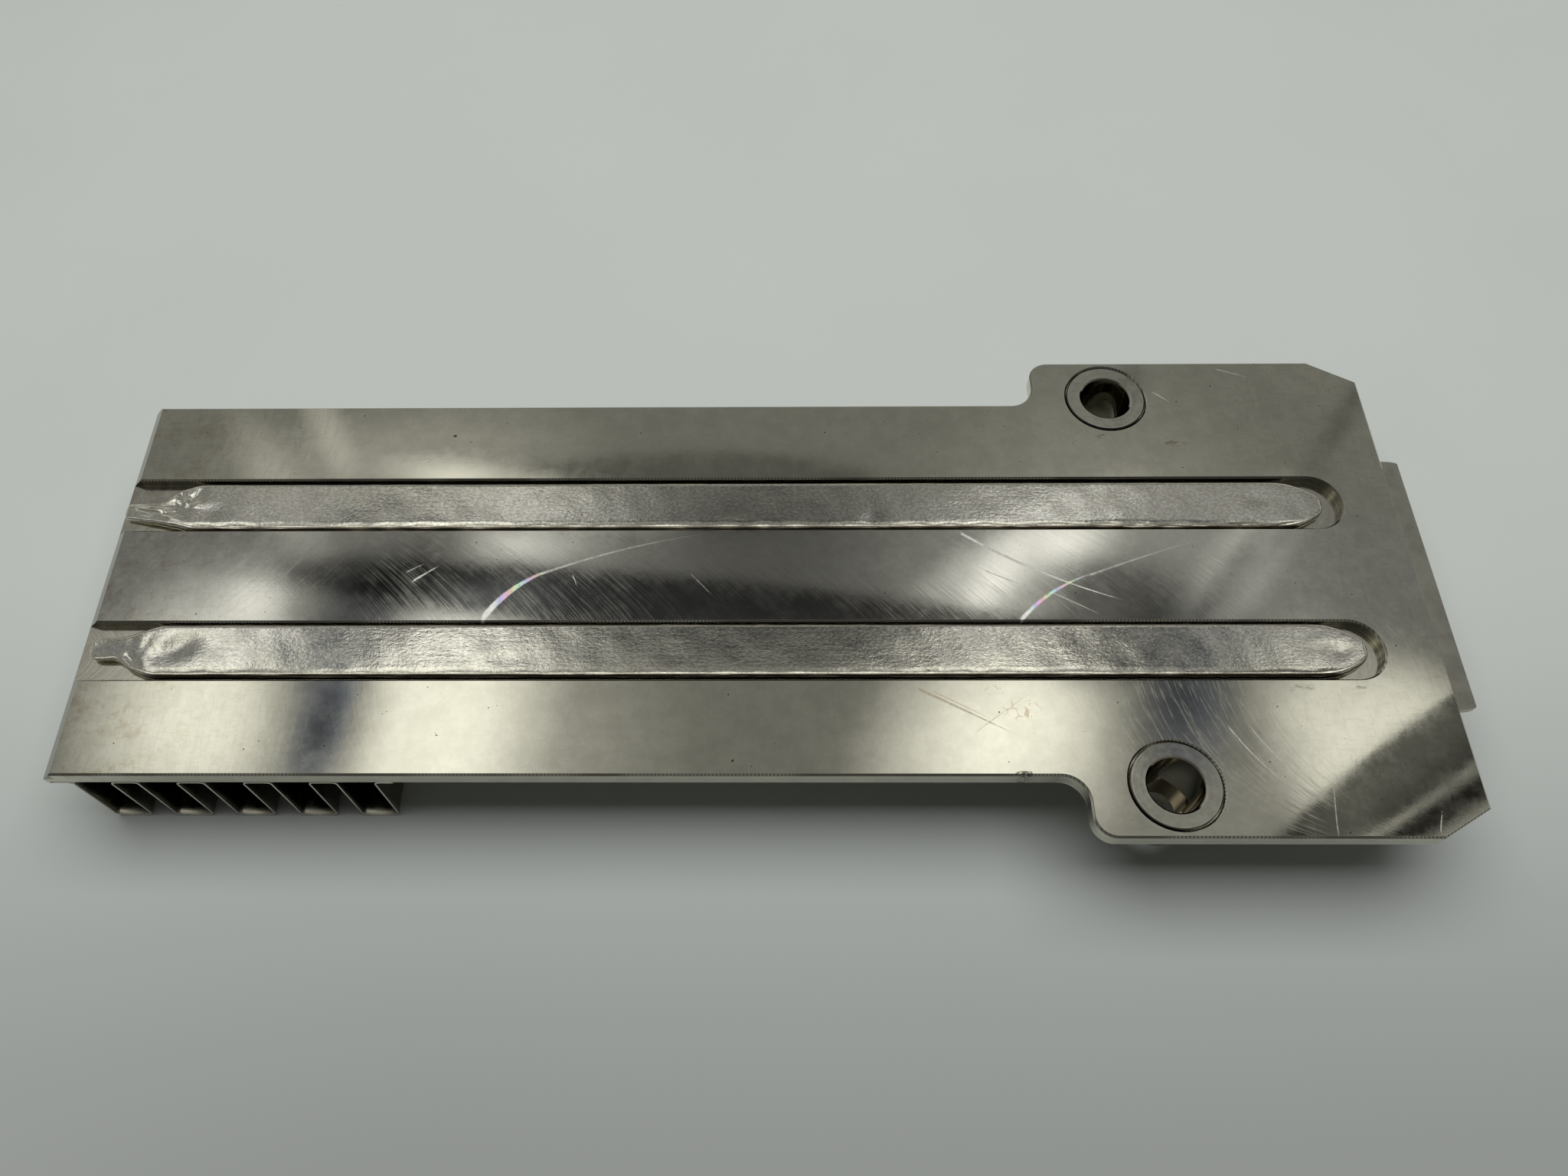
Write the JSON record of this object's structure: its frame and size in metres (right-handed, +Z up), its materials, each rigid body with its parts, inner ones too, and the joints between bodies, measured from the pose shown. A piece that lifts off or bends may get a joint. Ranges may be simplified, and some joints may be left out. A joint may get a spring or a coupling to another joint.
{
  "type": "heat pipe heatsink",
  "caption": "Milled plate with flattened heat pipes soldered into its grooves, a folded fin at one end, spring-screw cups in its ears and a contact block beneath.",
  "frame": {"origin": "middle of the contact face, midway between the two screw cups", "axes": "+X along the heat pipes towards the rounded ends of their grooves, +Y to the rear cup, +Z up through the plate, whose grooved face is on top"},
  "size_m": [0.1947, 0.0784, 0.016],
  "materials": {
    "plate": "bright nickel plating over fly-cut aluminium",
    "pipe": "satin nickel plating over pressed copper",
    "fin": "nickel-plated sheet",
    "cup": "turned, nickel plated",
    "block": "satin nickel plating"
  },
  "bodies": {
    "root": {"base_plate": "plate", "heat_pipe_rear": "pipe", "heat_pipe_front": "pipe", "folded_fin": "fin", "screw_cup_rear": "cup", "screw_cup_front": "cup", "contact_block": "block"}
  },
  "joints": []
}
